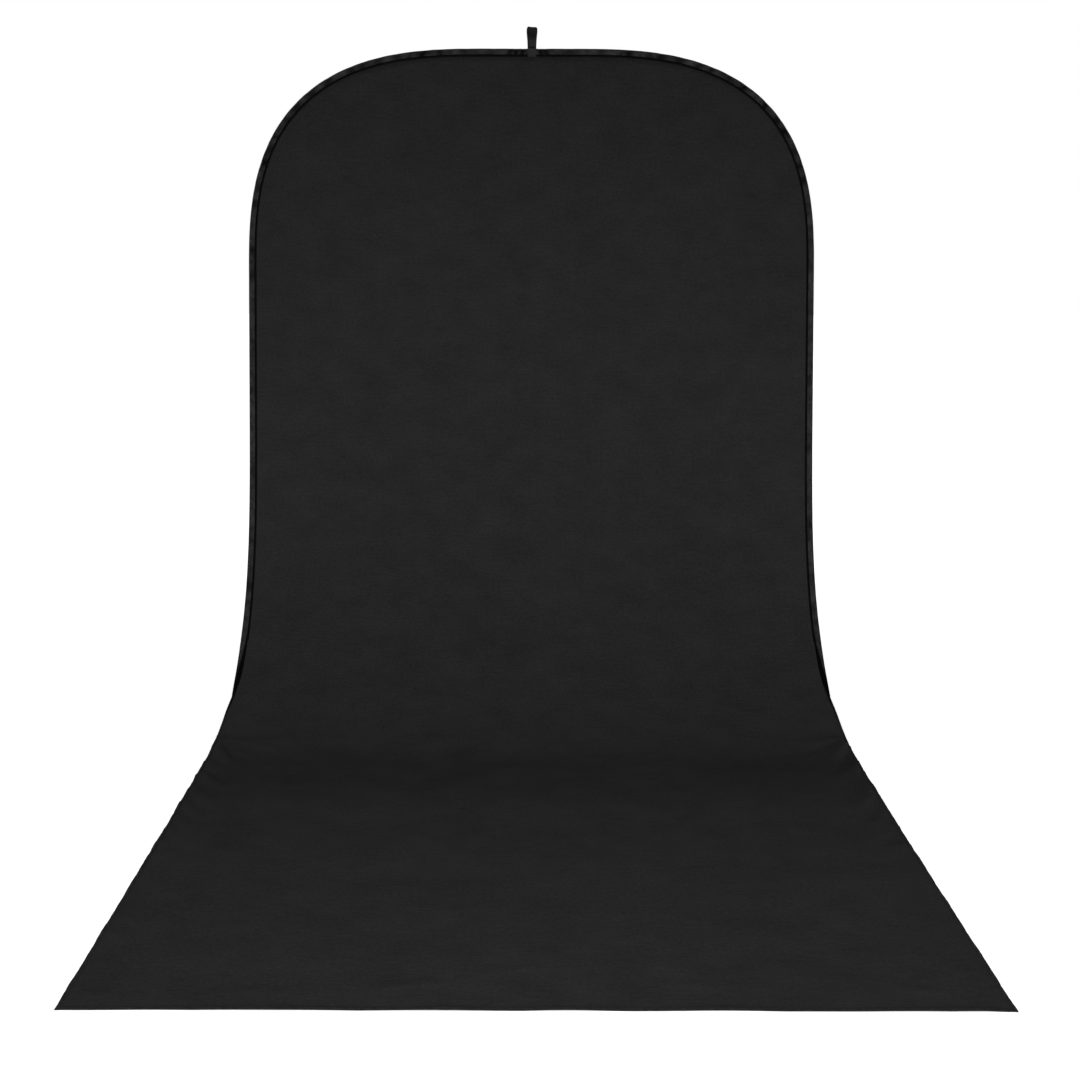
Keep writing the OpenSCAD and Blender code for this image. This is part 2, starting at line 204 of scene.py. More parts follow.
# A mesh with a UV map in metres, and a value at each point for every name in values
def makePiece(name, points, faces, corners, material, values=None):
    mesh = bpy.data.meshes.new(name)
    mesh.from_pydata(points.reshape(-1, 3).tolist(), [], faces.tolist())
    layer = mesh.uv_layers.new(name="flat")
    layer.data.foreach_set("uv", corners.astype(np.float32).ravel())
    mesh.polygons.foreach_set("use_smooth", np.ones(len(faces), dtype=bool))
    for key, value in (values or {}).items():
        field = mesh.attributes.new(key, "FLOAT", "POINT")
        field.data.foreach_set("value", value.astype(np.float32).ravel())
    mesh.materials.append(material)
    mesh.update()
    piece = bpy.data.objects.new(name, mesh)
    bpy.context.scene.collection.objects.link(piece)
    return piece


# Six times the volume inside a closed mesh; it is below zero where the faces point inwards
def signedVolume(points, faces):
    a, b, c, d = (points[faces[:, i]] for i in range(4))
    return (np.cross(b - a, c - a) * a).sum() + (np.cross(c - a, d - a) * a).sum()


# A closed tube through rings of m points, with u along it and v round it in metres. Its ends are
# closed by quads from ladder, which pairs the ring's points from one side to the other.
def makeTube(name, rings, material, run, girth, ladder, values=None):
    n, m = rings.shape[:2]
    u0, u1 = np.broadcast_arrays(run[:-1, None], run[1:, None] + 0 * girth[None, 1:])
    v0, v1 = np.broadcast_arrays(girth[None, :-1] + 0 * u0, girth[None, 1:] + 0 * u0)
    corners = np.stack([u0 + 0 * v0, v0, u1, v0, u1, v1, u0 + 0 * v0, v1], axis=-1).reshape(-1, 8)
    ends = [np.array(ladder), np.array(ladder)[:, ::-1] + (n - 1) * m]
    caps = np.concatenate(ends)
    faces = np.concatenate([gridFaces(n, m, True), caps])
    capUv = np.stack([run[[0, -1]].repeat(len(ladder)), girth[caps[:, 0] % m]], axis=-1)
    corners = np.concatenate([corners, np.tile(capUv, 4)])
    points = rings.reshape(-1, 3)
    if signedVolume(points, faces) < 0:
        faces = faces[:, ::-1]
        corners = corners.reshape(-1, 4, 2)[:, ::-1].reshape(-1, 8)
    return makePiece(name, points, faces, corners, material, values)


# Pairs for a ring that goes out along one side and comes back along the other
def acrossLadder(m):
    a = np.arange(m // 2 - 1)
    return np.stack([a, a + 1, m - 2 - a, m - 1 - a], axis=-1)


# Stitches at points: each is a low bead of five rings and four sides. along and up are directions
# of length one, up being the way off the cloth, and sink is how far a bead's ends go down.
def makeStitches(name, at, along, up, material, length, width, height, sink):
    across = np.cross(along, up)
    share = np.array([-0.5, -0.32, 0, 0.32, 0.5])
    size = np.array([0.35, 0.85, 1.0, 0.85, 0.35])
    drop = np.array([1.0, 0.35, 0.0, 0.35, 1.0])
    ring = np.array([[-0.5, 0.1], [0, 1], [0.5, 0.1], [0, -0.4]])
    count = len(at)
    beads = (at[:, None, None] + along[:, None, None] * (share * length)[None, :, None, None]
             + across[:, None, None] * (ring[None, :, 0] * size[:, None] * width)[None, :, :, None]
             + up[:, None, None] * (ring[None, :, 1] * size[:, None] * height
                                    - drop[:, None] * sink)[None, :, :, None])
    one = np.concatenate([gridFaces(5, 4, True)[:, [0, 3, 2, 1]], [[3, 2, 1, 0], [16, 17, 18, 19]]])
    points = beads.reshape(-1, 3)
    if signedVolume(points[:20], one) < 0:
        one = one[:, ::-1]
    faces = (one[None] + 20 * np.arange(count)[:, None, None]).reshape(-1, 4)
    lengthwise = np.tile(share * length, count).repeat(4)
    flat = np.stack([lengthwise, np.tile([0, 1, 2, 3], 5 * count) * width], axis=-1)
    return makePiece(name, points, faces, flat[faces].reshape(-1, 8), material)


def linearColour(code):
    value = np.array([int(code[i:i + 2], 16) / 255 for i in (1, 3, 5)])
    value = np.where(value <= 0.04045, value / 12.92, ((value + 0.055) / 1.055) ** 2.4)
    return (*value.tolist(), 1.0)


# Adds a node, sets its fields, sets or links its inputs, and gives one of its outputs. Inputs in a
# list are in socket order, and a colour is its hex code.
def addNode(tree, kind, inputs=(), out=0, **fields):
    node = tree.nodes.new("ShaderNode" + kind)
    for key, value in fields.items():
        setattr(node, key, value)
    for key, value in inputs.items() if isinstance(inputs, dict) else enumerate(inputs):
        if isinstance(value, bpy.types.NodeSocket):
            tree.links.new(value, node.inputs[key])
        else:
            node.inputs[key].default_value = linearColour(value) if isinstance(value, str) else value
    return node.outputs[out] if node.outputs else node


# A material and its tree, with no nodes yet
def newMaterial(name):
    material = bpy.data.materials.new(name)
    material.use_nodes = True
    material.node_tree.nodes.clear()
    return material, material.node_tree


# Ends a material in one shader with these inputs
def finishMaterial(material, inputs):
    tree = material.node_tree
    addNode(tree, "OutputMaterial", {"Surface": addNode(tree, "BsdfPrincipled", inputs)})
    return material


# A noise on the cloth's flat measures, stretched to cells of the given size in millimetres
def flatNoise(tree, flat, cells, detail=3.0, rough=0.55):
    place = addNode(tree, "Mapping", {"Vector": flat, "Scale": (1000 / cells[0], 1000 / cells[1], 1.0)})
    return addNode(tree, "TexNoise", {"Vector": place, "Scale": 1.0, "Detail": detail, "Roughness": rough},
                   out="Fac")


# The sum of patterns, each times its weight
def weighted(tree, *parts):
    total = 0.0
    for pattern, weight in parts:
        total = addNode(tree, "Math", (pattern, weight, total), operation="MULTIPLY_ADD")
    return total


# Black brushed cotton: a plain weave dyed black, one face raised to a short nap. It gives the eye
# an even charcoal with no gloss, faint cloudy patches where the nap lies differently, and fine
# level streaks where a thicker weft thread runs.
cotton = {
    "dark": "#1d1d1d",
    "light": "#2c2c2c",
    "patch": (150, 110),
    "cloud": (420, 300),
    "weft": (70, 5.5),  # threads are 0.5 mm apart, drawn as coarse as shows from a few metres
    "grain": (12, 9),
    "weights": (0.24, 0.10, 0.22, 0.44),  # of patch, cloud, weft and grain in the tone
    "sheen": 0.05,
    # Painted light and shade by distance down the sheet: painted light where the sheet bends out,
    # and painted shade at its top and where the bend meets the floor
    "paintedLightShadeAt": (0.0, 0.6, 1.6, 2.5, 2.95, 3.15, 3.32, 3.48, 3.7, 4.1, 4.88),
    "tone": (0.90, 0.94, 0.99, 1.02, 1.10, 1.10, 1.00, 0.90, 0.99, 1.01, 0.92),
    "paintedBendShade": (0.09, 0.04),  # painted shade on the bend: how much darker at its sides, and how much more at the right
}


def brushedCotton():
    material, tree = newMaterial("brushedCotton")
    flat = addNode(tree, "UVMap", uv_map="flat")
    patch = flatNoise(tree, flat, cotton["patch"], 4.0, 0.6)
    cloud = flatNoise(tree, flat, cotton["cloud"], 2.0)
    weft = flatNoise(tree, flat, cotton["weft"], 2.0)
    grain = flatNoise(tree, flat, cotton["grain"], 2.0, 0.7)
    tone = weighted(tree, *zip((patch, cloud, weft, grain), cotton["weights"]))
    share = addNode(tree, "MapRange", (tone, 0.34, 0.66))
    colour = addNode(tree, "Mix", {0: share, 6: cotton["dark"], 7: cotton["light"]}, out=2, data_type="RGBA")
    # Painted light and shade down the sheet, multiplied into the cloth's colour
    paintedLightShadeFac = addNode(tree, "Attribute", out="Fac", attribute_name="paintedLightShade")
    colour = addNode(tree, "Mix", {0: 1.0, 6: colour, 7: paintedLightShadeFac}, out=2, data_type="RGBA", blend_type="MULTIPLY")
    nap = weighted(tree, (grain, 0.6), (weft, 0.4))
    fine = addNode(tree, "Bump", {"Height": nap, "Strength": 0.35, "Distance": 0.0012})
    ease = addNode(tree, "Bump", {"Height": patch, "Strength": 0.5, "Distance": 0.006, "Normal": fine})
    return finishMaterial(material, {
        "Base Color": colour, "Normal": ease, "Roughness": 0.95, "Specular IOR Level": 0.04,
        "Sheen Weight": cotton["sheen"], "Sheen Roughness": 0.6, "Sheen Tint": "#6a6a6a"})


# Casing cloth: a closely woven polyester and cotton strip, folded and gathered round the hoop. It
# is a little smoother than the nap, with a soft light along its crown. Its pinches are darkened with
# painted shade, and a painted near-black shadow lies along the seam and where the casing turns under the
# cloth.
casingLook = {
    "crown": "#292929",
    # The pinch colour is painted shade in the pinches. The near-black colour is the painted shadow along the
    # seam.
    "pinch": "#050505",
    "seamShadow": "#030303",
    "crinkle": (38, 30),
    "weave": (4, 4),  # threads are 0.3 mm apart, drawn coarser to show
}


def casingCloth():
    material, tree = newMaterial("casingCloth")
    flat = addNode(tree, "UVMap", uv_map="flat")
    # Masks of painted shade: in the pinches, and along the seam
    pinchShadeMask = addNode(tree, "Attribute", out="Fac", attribute_name="pinchShadeMask")
    seamShadow = addNode(tree, "Attribute", out="Fac", attribute_name="seamShadow")
    crinkle = flatNoise(tree, flat, casingLook["crinkle"], 3.0)
    weave = flatNoise(tree, flat, casingLook["weave"], 2.0, 0.7)
    tone = addNode(tree, "MapRange", (crinkle, 0.34, 0.66, 0.55, 1.45))
    colour = addNode(tree, "Mix", {0: 1.0, 6: casingLook["crown"], 7: tone}, out=2, data_type="RGBA",
                     blend_type="MULTIPLY")
    colour = addNode(tree, "Mix", {0: pinchShadeMask, 6: colour, 7: casingLook["pinch"]}, out=2, data_type="RGBA")
    colour = addNode(tree, "Mix", {0: seamShadow, 6: colour, 7: casingLook["seamShadow"]}, out=2, data_type="RGBA")
    height = weighted(tree, (weave, 0.25), (crinkle, 1.0))
    bump = addNode(tree, "Bump", {"Height": height, "Strength": 0.5, "Distance": 0.002})
    return finishMaterial(material, {
        "Base Color": colour, "Normal": bump, "Roughness": 0.8, "Specular IOR Level": 0.04,
        "Sheen Weight": 0.03, "Sheen Roughness": 0.5, "Sheen Tint": "#585858"})


# Hem cloth: the same cotton turned under twice and pressed, so its nap is flatter and it crinkles
# between stitches. The painted near-black shadow of the casing's seam runs out along its edge.
hemLook = {"dark": "#1a1a1a", "light": "#2a2a2a", "crinkle": (14, 9)}


def pressedHem():
    material, tree = newMaterial("pressedHem")
    flat = addNode(tree, "UVMap", uv_map="flat")
    crinkle = flatNoise(tree, flat, hemLook["crinkle"], 3.0)
    share = addNode(tree, "MapRange", (crinkle, 0.3, 0.7))
    colour = addNode(tree, "Mix", {0: share, 6: hemLook["dark"], 7: hemLook["light"]}, out=2,
                     data_type="RGBA")
    # Painted near-black shadow along the hem's outer edge, where the casing tucks under
    seamShadow = addNode(tree, "Attribute", out="Fac", attribute_name="seamShadow")
    colour = addNode(tree, "Mix", {0: seamShadow, 6: colour, 7: casingLook["seamShadow"]}, out=2, data_type="RGBA")
    bump = addNode(tree, "Bump", {"Height": crinkle, "Strength": 0.5, "Distance": 0.0015})
    return finishMaterial(material, {
        "Base Color": colour, "Normal": bump, "Roughness": 0.9, "Specular IOR Level": 0.04,
        "Sheen Weight": 0.05, "Sheen Roughness": 0.55, "Sheen Tint": "#606060"})


# Nylon webbing: flat woven strap with a low rib across it. The filaments are smooth, so it has a
# soft silky light where it bends, and the ribs break that light into bars. Painted light at its top and base
# and painted shade between are multiplied into its colour.
webbingLook = {
    "base": "#101010",
    "high": "#262626",
    "rib": 0.00282743,  # ribs are 2 mm, drawn coarser to show
    "slub": (9, 5),
}


def nylonWebbing():
    material, tree = newMaterial("nylonWebbing")
    flat = addNode(tree, "UVMap", uv_map="flat")
    # The wave has 20 / tau bands in a unit at scale 1
    rib = addNode(tree, "TexWave", {"Vector": flat, "Scale": math.tau / 20 / webbingLook["rib"],
                                    "Distortion": 1.2, "Detail": 2.0, "Detail Scale": 1.5}, out="Fac",
                  bands_direction="X")
    tone = weighted(tree, (rib, 0.5), (flatNoise(tree, flat, webbingLook["slub"], 2.0), 0.5))
    share = addNode(tree, "MapRange", (tone, 0.2, 0.8))
    colour = addNode(tree, "Mix", {0: share, 6: webbingLook["base"], 7: webbingLook["high"]}, out=2,
                     data_type="RGBA")
    # Painted light and shade down the loop
    loopLightShade = addNode(tree, "Attribute", out="Fac", attribute_name="loopLightShade")
    colour = addNode(tree, "Mix", {0: 1.0, 6: colour, 7: loopLightShade}, out=2, data_type="RGBA", blend_type="MULTIPLY")
    bump = addNode(tree, "Bump", {"Height": tone, "Strength": 0.7, "Distance": 0.0012})
    return finishMaterial(material, {
        "Base Color": colour, "Normal": bump, "Roughness": 0.55, "Specular IOR Level": 0.10,
        "Sheen Weight": 0.05, "Sheen Roughness": 0.4, "Sheen Tint": "#707070"})


# Lockstitch thread: bonded polyester, twisted, a touch glossier than the cloth it sinks into
threadLook = {"dark": "#161616", "light": "#2a2a2a", "twist": 1.2566}  # a turn of the twist, in millimetres


def polyesterThread():
    material, tree = newMaterial("polyesterThread")
    flat = addNode(tree, "UVMap", uv_map="flat")
    # The diagonal wave has 10 / tau bands in a unit at scale 1
    twist = addNode(tree, "TexWave", {"Vector": flat, "Scale": 100 * math.tau / threadLook["twist"],
                                      "Distortion": 0.5}, out="Fac", bands_direction="DIAGONAL")
    colour = addNode(tree, "Mix", {0: twist, 6: threadLook["dark"], 7: threadLook["light"]}, out=2,
                     data_type="RGBA")
    bump = addNode(tree, "Bump", {"Height": twist, "Strength": 0.4, "Distance": 0.0003})
    return finishMaterial(material, {
        "Base Color": colour, "Normal": bump, "Roughness": 0.45, "Specular IOR Level": 0.10})


# A rolled or plated metal: fine scratches of the given size in millimetres roughen it in places
def platedMetal(name, base, worn, roughness, cells):
    material, tree = newMaterial(name)
    place = addNode(tree, "TexCoord", out="Object")
    fine = addNode(tree, "Mapping", {"Vector": place, "Scale": tuple(1000 / cell for cell in cells)})
    scratch = addNode(tree, "TexNoise", {"Vector": fine, "Scale": 1.0, "Detail": 4.0, "Roughness": 0.6},
                      out="Fac")
    share = addNode(tree, "MapRange", (scratch, 0.35, 0.7))
    colour = addNode(tree, "Mix", {0: share, 6: base, 7: worn}, out=2, data_type="RGBA")
    rough = addNode(tree, "MapRange", (scratch, 0.3, 0.7, roughness, roughness + 0.2))
    bump = addNode(tree, "Bump", {"Height": scratch, "Strength": 0.15, "Distance": 0.0002})
    return finishMaterial(material, {
        "Base Color": colour, "Normal": bump, "Roughness": rough, "Metallic": 1.0})


# Cloth tape: a woven tape with a rubbery coat that fills most of its weave and leaves a dull shine
tapeLook = {"warp": "#1a1a1a", "weft": "#202020", "gap": "#0d0d0d", "thread": 1.25}  # in millimetres


def gafferTape():
    material, tree = newMaterial("coatedClothTape")
    # A brick is half a unit long at scale 1
    weave = {"Vector": addNode(tree, "TexCoord", out="Object"), "Scale": 500 / tapeLook["thread"],
             "Mortar Size": 0.08, "Color1": tapeLook["warp"],
             "Color2": tapeLook["weft"], "Mortar": tapeLook["gap"]}
    colour = addNode(tree, "TexBrick", weave, out="Color")
    bump = addNode(tree, "Bump", {"Height": colour.node.outputs["Fac"], "Strength": 0.4,
                                  "Distance": 0.0002}, invert=True)
    return finishMaterial(material, {
        "Base Color": colour, "Normal": bump, "Roughness": 0.55, "Specular IOR Level": 0.4})


cottonMaterial = brushedCotton()
casingMaterial = casingCloth()
hemMaterial = pressedHem()
webbingMaterial = nylonWebbing()
threadMaterial = polyesterThread()
# Tempered spring steel strip: blued grey with draw lines along it
springMaterial = platedMetal("temperedSpringSteel", "#6f7276", "#8d8f90", 0.28, (60, 2, 2))
# Zinc-plated sheet: pale bluish grey, dulled in patches
sleeveMaterial = platedMetal("zincPlatedSheet", "#a7abad", "#c2c4c4", 0.38, (6, 6, 6))
# Nickel-plated rivet: bright and warm, scuffed where it was set
rivetMaterial = platedMetal("nickelPlatedRivet", "#b9b4aa", "#d2cec6", 0.25, (2, 2, 2))
tapeMaterial = gafferTape()
print("materials made")

sheetShape = {
    "columns": 171,
    "seamReach": 0.0326,  # from the hoop's outer edge to the inner edge of the casing's seam
    "underlap": 0.008,  # how far the cloth's edge reaches into that seam
    "billow": 0.0022,
    "seed": 11,
}


# Distance from the hoop's outer edge to the cloth's edge on a side
def clothInset(s):
    casing = sheetShape["seamReach"] - lerp(sheetShape["underlap"], 0.004, smoothStep(s, 2.34, 2.50))
    cover = smoothStep(s, hem["start"], hem["start"] + hem["spread"])
    return lerp(casing, hem["width"] + 0.0006, cover)


def edgeWander(s, side):
    wave = np.sin(s * 23 + side * 1.7) + 0.6 * np.sin(s * 47.3 + side * 4.1) + 0.35 * np.sin(s * 91.7 + side)
    return (hem["wander"] * wave / 1.95 - 0.0008) * smoothStep(s, 2.95, 3.25)


def halfWidth(s, side):
    return sweep["width"] / 2 - clothInset(s) + edgeWander(s, side)


# A wrinkle from (x0, s0) to (x1, s1): a bell across it that is steeper on one side, bowed
# sideways, full at its start and faded out at its end
def wrinkle(x, s, x0, s0, x1, s1, width, height, bow=0.0, opening=0.12):
    dx, ds = x1 - x0, s1 - s0
    length = math.hypot(dx, ds)
    t = ((x - x0) * dx + (s - s0) * ds) / length ** 2
    off = ((x - x0) * ds - (s - s0) * dx) / length - bow * 4 * t * (1 - t)
    grown = width * (1 + 0.9 * np.clip(t, 0, 1))
    bell = np.exp(-(off / grown) ** 2) - 0.45 * np.exp(-((off - 1.5 * grown) / grown) ** 2)
    return height * bell * smoothStep(t, -0.02, opening) * (1 - smoothStep(t, 0.35, 1.0))


# Wrinkles that start at the side hems, where the hoop lets go of the cloth, and drift inwards
# down the sweep; a fan at each departure point; and long low ones on the train
def wrinkleList():
    draw = np.random.default_rng(sheetShape["seed"])
    found = []
    for side in (-1, 1):
        edge = 1.198 * side
        depth = 1.35 if side > 0 else 1.0
        for reach, fall, high in ((0.30, 0.02, 0.6), (0.34, 0.10, 0.8), (0.24, 0.22, 1.2), (0.12, 0.30, 2.2)):
            found.append((edge, 3.12 + 0.02 * fall, edge - side * reach, 3.12 + fall, 0.016,
                          0.0042 * depth * high, 0.02 * side, 0.1))
        at = 3.18
        while at < 4.05:
            reach = draw.uniform(0.07, 0.14) * (1.25 - (at - 3.2) * 0.5)
            fall = draw.uniform(0.14, 0.28)
            found.append((edge + 0.012 * side, at, edge - side * reach, at + fall, draw.uniform(0.018, 0.026),
                          draw.uniform(0.0085, 0.0125) * depth * (1.10 - (at - 3.2) * 0.7),
                          draw.uniform(-0.015, 0.015), 0.05))
            at += draw.uniform(0.09, 0.14)
        for at in np.arange(3.98, 4.82, 0.09):
            at += draw.uniform(-0.03, 0.03)
            found.append((edge + 0.012 * side, at, edge - side * draw.uniform(0.04, 0.14),
                          at + draw.uniform(0.02, 0.10), 0.009, draw.uniform(0.0010, 0.0028), 0.0, 0.05))
    for x, s, dx, ds, width, height in ((-0.20, 4.745, -0.34, 0.085, 0.016, 0.0042),
                                        (0.07, 4.69, -0.30, 0.055, 0.018, 0.0026),
                                        (-1.06, 4.76, -0.14, 0.075, 0.014, 0.0040),
                                        (-0.98, 4.50, 0.30, -0.03, 0.020, 0.0026),
                                        (-0.86, 4.80, 0.34, 0.02, 0.016, 0.0026),
                                        (0.30, 4.76, 0.30, 0.02, 0.018, 0.0026),
                                        (0.62, 4.73, 0.40, 0.05, 0.020, 0.0030),
                                        (0.80, 4.62, 0.36, -0.02, 0.022, 0.0022),
                                        (1.10, 4.80, -0.22, -0.03, 0.014, 0.0034),
                                        (-0.45, 4.34, 0.50, 0.03, 0.026, 0.0018),
                                        (0.55, 4.22, 0.42, -0.03, 0.024, 0.0018)):
        found.append((x, s, x + dx, s + ds, width, height, draw.uniform(-0.03, 0.03), 0.3))
    return found


wrinkles = wrinkleList()


# Height of the cloth's wrinkles and billows off its sweep
def clothRelief(x, s):
    half = sweep["width"] / 2
    inner = 1 - np.abs(x / half) ** 3
    billow = (np.sin(3.1 * x + 1.7 * s + 0.4) * np.sin(2.3 * s - 1.1 * x)
              + 0.5 * np.sin(6.7 * x - 2.9 * s + 1.2) * np.sin(4.9 * s + 0.7))
    billow = billow * sheetShape["billow"] * inner * smoothStep(s, 0.05, 0.6) * (1 - smoothStep(s, 3.1, 3.5))
    relief = sum(wrinkle(x, s, *one) for one in wrinkles)
    flat = smoothStep(s, 3.2, 3.5)
    low = 0.0006 * (np.sin(9 * x + 3 * s) * np.sin(11 * s - 2 * x) + 1)
    low = low * flat * smoothStep(sweep["length"] - s, 0.0, 0.05)
    relief = lerp(relief, np.maximum(relief, 0) + 0.15 * np.abs(np.minimum(relief, 0)), flat)
    return billow + relief + low


def clothSheet():
    # Columns leave the top edge at steps that count a run along the sides at less than its length
    arc = np.linspace(0, 1, 4000)
    rail = np.linspace(0, hoop["railFlat"], 400)[:-1]
    right = np.concatenate([np.stack([rail, 0 * rail, 0 * rail, 0 * rail - 1], axis=-1), cornerAt(arc, -1)])
    inset = sheetShape["seamReach"] - sheetShape["underlap"]
    edge = right[:, :2] - inset * right[:, 2:]
    run = runningSum(np.hypot(np.diff(edge[:, 0]), 0.40 * np.diff(edge[:, 1])))
    at = np.linspace(0, run[-1], sheetShape["columns"] // 2 + 1)
    topX, topS = np.interp(at, run, edge[:, 0]), np.interp(at, run, edge[:, 1])
    share = np.concatenate([-topX[:0:-1], topX]) / topX[-1]
    topS = np.concatenate([topS[:0:-1], topS])
    # Rows are level below s = 1.2, and lie closer where there are wrinkles
    stops = ((1.2, 2.3, 22), (2.3, 2.8, 24), (2.8, 3.9, 104), (3.9, 4.6, 50), (4.6, 4.8745, 27))
    level = np.concatenate([np.linspace(a, b, count, endpoint=False) for a, b, count in stops] + [[4.8745]])
    fall = np.linspace(0, 1, 37)[:-1, None]
    s = np.concatenate([lerp(topS[None], 1.2, fall), np.repeat(level[:, None], len(share), axis=1)])
    x = np.where(share < 0, halfWidth(s, -1), halfWidth(s, 1)) * share
    # The edge slips 3 mm into the hem once it has one
    x = x * (1 + 0.0025 * smoothStep(s, hem["start"], hem["start"] + 0.1) * (np.abs(share) > 0.9999))
    relief = clothRelief(x, s)
    ends = np.abs(x) / halfWidth(s, 1)
    relief = relief * (1 - 0.55 * smoothStep(ends, 0.992, 1.0))
    half = sweep["clothThick"] / 2
    front, back = onCloth(x, s, relief + half), onCloth(x, s, relief - half)
    back[..., 2] = np.maximum(back[..., 2], 0.0)
    skin = gridFaces(*s.shape)
    count = s.size
    grid = np.arange(count).reshape(s.shape)
    rim = np.concatenate([grid[0, :-1], grid[:-1, -1], grid[-1, :0:-1], grid[:0:-1, 0]])
    wall = np.stack([rim, np.roll(rim, -1), np.roll(rim, -1) + count, rim + count], axis=-1)
    faces = np.concatenate([skin, skin[:, ::-1] + count, wall])
    points = np.concatenate([front.reshape(-1, 3), back.reshape(-1, 3)])
    if signedVolume(points, faces) < 0:
        faces = faces[:, ::-1]
    flat = np.tile(np.stack([x, s], axis=-1).reshape(-1, 2), (2, 1))
    # Painted light and shade along the sheet, kept in the cloth's colour
    tone = np.interp(flat[:, 1], cotton["paintedLightShadeAt"], cotton["tone"])
    # Painted shade: a bell down the sheet at the bend, grown from the middle out to the sides
    paintedBendShade = cotton["paintedBendShade"][0] + cotton["paintedBendShade"][1] * np.sign(flat[:, 0])
    paintedBendShade = paintedBendShade * smoothStep(np.abs(flat[:, 0]), 0.3, 1.0)
    tone = tone - paintedBendShade * np.exp(-((flat[:, 1] - 3.36) / 0.13) ** 2)
    return makePiece("clothSheet", points, faces, flat[faces].reshape(-1, 8), cottonMaterial,
                     {"paintedLightShade": tone})


cloth = clothSheet()
print("cloth sheet made")

casing = {
    "width": 0.032,
    "wall": 0.0007,
    "room": 0.0008,  # slack between the band's edge and the wall
    "swell": 0.0016,  # how far the band's edge lifts the cloth where its twist ends
    "mouth": 0.080,  # half the gap between its two ends, where the lap joins them
    "seamShadowFrom": 0.0238,  # where the painted near-black shadow of the seam starts
    "seed": 5,
}


# Half the casing's depth round the band, which stands on edge at k = 0 and lies flat at k = 1
def casingDepth(k):
    angle = math.pi / 2 * k
    return (hoop["bandWidth"] / 2 * np.cos(angle) + hoop["bandThick"] / 2 * np.sin(angle)
            + 0.0018 * np.sin(2 * angle) + casing["room"] + casing["wall"])


# Pinches of the gathered cloth: run along the hoop, half width, depth and slant. They crowd
# round the top corners and the hang loop, and are few along the sides.
def pinchList():
    draw = np.random.default_rng(casing["seed"])
    total = outlineRun[-1]
    found = []
    at = 0.12
    while at < total - 0.12:
        s = hoopAt(np.array([at]))[0, 1]
        fromTop = abs(at - hoopTop)
        corner = 0.35 < fromTop < 1.55
        crowd = 0.085 if corner else (0.11 if s < 0.9 else 0.30)
        depth = draw.uniform(0.38, 0.62) if corner else draw.uniform(0.10, 0.42)
        found.append((at, draw.uniform(0.014, 0.028), depth, draw.uniform(-0.7, 0.7)))
        if corner and draw.random() < 0.5:
            found.append((at + draw.uniform(0.018, 0.03), 0.005, depth * 0.6, draw.uniform(-0.5, 0.5)))
        at += crowd * draw.uniform(0.65, 1.35)
    for side, reach in ((-1, 0.034), (1, 0.036), (-1, 0.056), (1, 0.064), (1, 0.090)):
        found.append((hoopTop + side * reach, 0.014, 0.68 - 1.5 * reach, side * 0.3))
    return found


pinches = pinchList()


# How deep the pinches are at a run along the hoop and r in from its edge, 0 to 1
def pinchAt(run, r):
    deep = np.zeros(np.broadcast(run, r).shape)
    for at, wide, depth, slant in pinches:
        near = np.abs(run - at) < 6 * wide + 0.03
        if near.any():
            off = (run - at - slant * r) / wide
            deep = np.maximum(deep, near * depth * np.exp(-off * off))
    return deep


def casingRun():
    stops = ((casing["mouth"], hoopTop - 1.75, 0.0135), (hoopTop - 1.75, hoopTop + 1.75, 0.0042),
             (hoopTop + 1.75, outlineRun[-1] - casing["mouth"], 0.0135))
    parts = [np.linspace(a, b, int((b - a) / gap), endpoint=False) for a, b, gap in stops]
    return np.concatenate(parts + [[stops[-1][1]]])


# The casing's front, as n at r: a full round over the band, then a step down to the seam
def casingFace(r, k):
    reach = r / casing["width"]
    stops = (0, 0.02, 0.06, 0.10, 0.22, 0.38, 0.53, 0.66, 0.74)
    onEdge = np.interp(reach, stops, (0.60, 0.88, 0.98, 1.0, 0.90, 0.74, 0.56, 0.42, 0.24))
    lyingFlat = np.interp(reach, stops, (0.30, 0.45, 0.62, 0.80, 0.90, 1.0, 1.0, 0.98, 0.9))
    return casingDepth(k) * lerp(onEdge, lyingFlat, k)


# Distances in from the hoop's outer edge at which the casing has points
casingR = np.array([0, 0.0007, 0.002, 0.0045, 0.008, 0.012, 0.016, 0.0195, 0.0225, 0.0238, 0.0248,
                    0.0285, 0.0320])
lipN = 0.00125  # height of the seam's face off the cloth's middle


